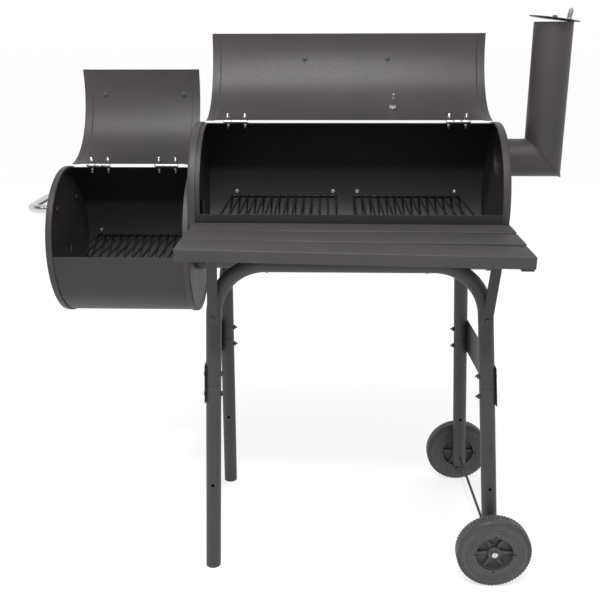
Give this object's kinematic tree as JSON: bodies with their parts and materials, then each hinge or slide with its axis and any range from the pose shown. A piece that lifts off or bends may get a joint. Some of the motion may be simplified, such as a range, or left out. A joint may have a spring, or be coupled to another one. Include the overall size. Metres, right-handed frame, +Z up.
{
  "type": "offset smoker",
  "caption": "Charcoal offset smoker: horizontal cooking drum with a lower side firebox, hinged lids, elbow chimney with damper, slatted front shelf and a wheeled tube stand.",
  "frame": {"origin": "bottom centre of the whole smoker's box, on the ground", "axes": "+X from the firebox towards the chimney, +Y from the shelf side towards the back, +Z up"},
  "size_m": [1.1062, 0.613, 1.1465],
  "materials": {
    "black_paint": "satin black heat-resistant paint with a fine texture",
    "frame_paint": "satin black powder coat",
    "shelf_paint": "fine-textured black powder coat, a little lighter where it faces up",
    "grate_enamel": "black enamelled steel rod",
    "zinc_plate": "bright zinc plate",
    "chrome_plate": "bright chrome plate",
    "black_plastic": "moulded black plastic",
    "dial_face": "printed off-white dial",
    "dial_needle": "red painted needle",
    "dial_glass": "clear flat glass"
  },
  "bodies": {
    "smoker_frame": {"main_drum_shell": "black_paint", "main_cap_left": "black_paint", "main_cap_right": "black_paint", "firebox_shell": "black_paint", "firebox_cap_right": "black_paint", "firebox_cap_left": "black_paint", "chimney_elbow": "black_paint", "chimney_stack": "black_paint", "front_leg_frame": "frame_paint", "rear_leg_frame": "frame_paint", "front_left_lower_leg": "frame_paint", "front_right_lower_leg": "frame_paint", "rear_left_lower_leg": "frame_paint", "rear_right_lower_leg": "frame_paint", "left_side_plate": "frame_paint", "right_side_plate": "frame_paint", "shelf_bracket_left": "frame_paint", "shelf_bracket_right": "frame_paint", "axle": "frame_paint", "shelf_slat_front": "shelf_paint", "shelf_slat_middle": "shelf_paint", "shelf_slat_rear": "shelf_paint", "main_hinge_left_lower_leaf": "zinc_plate", "main_hinge_right_lower_leaf": "zinc_plate", "firebox_hinge_left_lower_leaf": "zinc_plate", "firebox_hinge_right_lower_leaf": "zinc_plate", "main_hinge_left_pin": "zinc_plate", "main_hinge_right_pin": "zinc_plate", "firebox_hinge_left_pin": "zinc_plate", "firebox_hinge_right_pin": "zinc_plate", "air_shutter_rivet": "zinc_plate", "damper_pivot_bolt": "zinc_plate", "damper_spring": "zinc_plate", "damper_pivot_nut": "zinc_plate", "front_axle_nut": "zinc_plate", "rear_axle_nut": "zinc_plate", "side_handle": "chrome_plate", "front_left_foot": "black_plastic", "rear_left_foot": "black_plastic"},
    "main_lid": {"main_lid": "black_paint", "main_hinge_left_upper_leaf": "zinc_plate", "main_hinge_right_upper_leaf": "zinc_plate", "main_lid_handle": "chrome_plate", "thermometer_case": "chrome_plate", "thermometer_dial": "dial_face", "thermometer_stem": "zinc_plate", "thermometer_nut": "zinc_plate"},
    "needle": {"thermometer_needle": "dial_needle"},
    "firebox_lid": {"firebox_lid": "black_paint", "firebox_hinge_left_upper_leaf": "zinc_plate", "firebox_hinge_right_upper_leaf": "zinc_plate", "firebox_lid_handle": "chrome_plate"},
    "damper": {"damper_disc": "black_paint", "damper_knob": "black_plastic"},
    "air_shutter": {"air_shutter": "black_paint"},
    "grate_left": {"cooking_grate_left": "grate_enamel"},
    "grate_right": {"cooking_grate_right": "grate_enamel"},
    "charcoal_grate": {"charcoal_grate": "grate_enamel"},
    "front_wheel": {"front_wheel": "black_plastic"},
    "rear_wheel": {"rear_wheel": "black_plastic"}
  },
  "joints": [
    {"name": "main_lid_hinge", "type": "hinge", "parent": "smoker_frame", "child": "main_lid", "pos_m": [0.10229, 0.0718, 0.92848], "axis": [1, 0, 0], "range_deg": [0, 178.5]},
    {"name": "needle_turn", "type": "hinge", "parent": "main_lid", "child": "needle", "pos_m": [0.19928, 0.13955, 0.93976], "axis": [0, -0.4617, 0.887], "range_deg": [0, 250]},
    {"name": "firebox_lid_hinge", "type": "hinge", "parent": "smoker_frame", "child": "firebox_lid", "pos_m": [-0.34831, 0.096, 0.835], "axis": [1, 0, 0], "range_deg": [0, 169]},
    {"name": "damper_swivel", "type": "hinge", "parent": "smoker_frame", "child": "damper", "pos_m": [0.53229, 0.0745, 1.12144], "axis": [0.1253, 0, 0.9921], "range_deg": [-90, 90]},
    {"name": "air_shutter_turn", "type": "hinge", "parent": "smoker_frame", "child": "air_shutter", "pos_m": [-0.49162, 0.0745, 0.637], "axis": [1, 0, 0], "range_deg": [0, 90]},
    {"name": "grate_left_tilt", "type": "hinge", "parent": "smoker_frame", "child": "grate_left", "pos_m": [-0.03372, 0.2208, 0.751], "axis": [-1, 0, 0], "range_deg": [0, 18]},
    {"name": "grate_right_tilt", "type": "hinge", "parent": "smoker_frame", "child": "grate_right", "pos_m": [0.24229, 0.2208, 0.751], "axis": [-1, 0, 0], "range_deg": [0, 18]},
    {"name": "charcoal_grate_tilt", "type": "hinge", "parent": "smoker_frame", "child": "charcoal_grate", "pos_m": [-0.34771, 0.2208, 0.659], "axis": [-1, 0, 0], "range_deg": [0, 18]},
    {"name": "front_wheel_spin", "type": "hinge", "parent": "smoker_frame", "child": "front_wheel", "pos_m": [0.4133, -0.15493, 0.0775], "axis": [-0.0249, 0.9997, 0], "continuous": true},
    {"name": "rear_wheel_spin", "type": "hinge", "parent": "smoker_frame", "child": "rear_wheel", "pos_m": [0.40231, 0.28644, 0.0775], "axis": [-0.0249, 0.9997, 0], "continuous": true}
  ]
}
